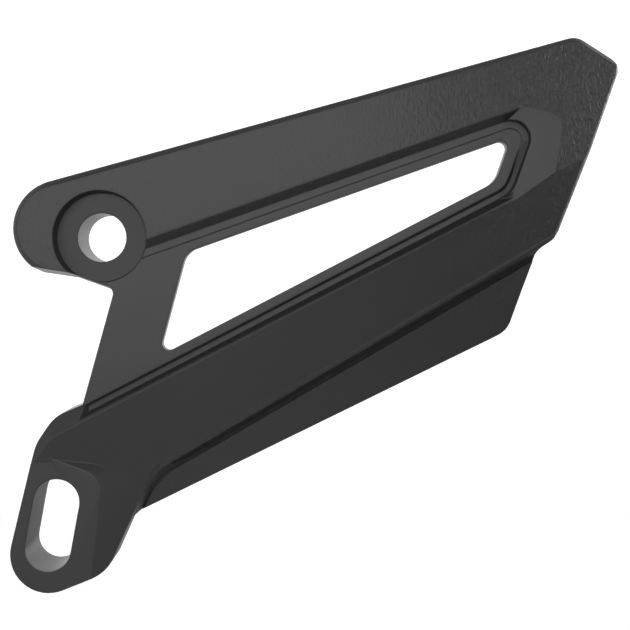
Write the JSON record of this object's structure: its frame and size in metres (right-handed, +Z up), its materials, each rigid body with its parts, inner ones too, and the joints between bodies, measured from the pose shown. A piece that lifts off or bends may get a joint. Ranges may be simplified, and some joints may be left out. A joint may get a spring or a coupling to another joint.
{
  "type": "sprocket cover",
  "caption": "Moulded plastic cover for a motorbike's front sprocket: an upper and a lower bar joined by a strut, a window between them, a bolt hole and a slotted tab.",
  "frame": {"origin": "centre of the bolt hole's engine-side mouth, on the face that rests on the engine", "axes": "-Y out of the front, the way the bolt leaves; +Z up as the picture shows the cover; +X along it, from the bolt hole towards the pointed nose"},
  "size_m": [0.1495, 0.0144, 0.1366],
  "materials": {
    "cover_plastic": "black moulded plastic, fine leather grain on the large faces, smooth in the recesses"
  },
  "bodies": {
    "root": {"sprocket_cover": "cover_plastic"}
  },
  "joints": []
}
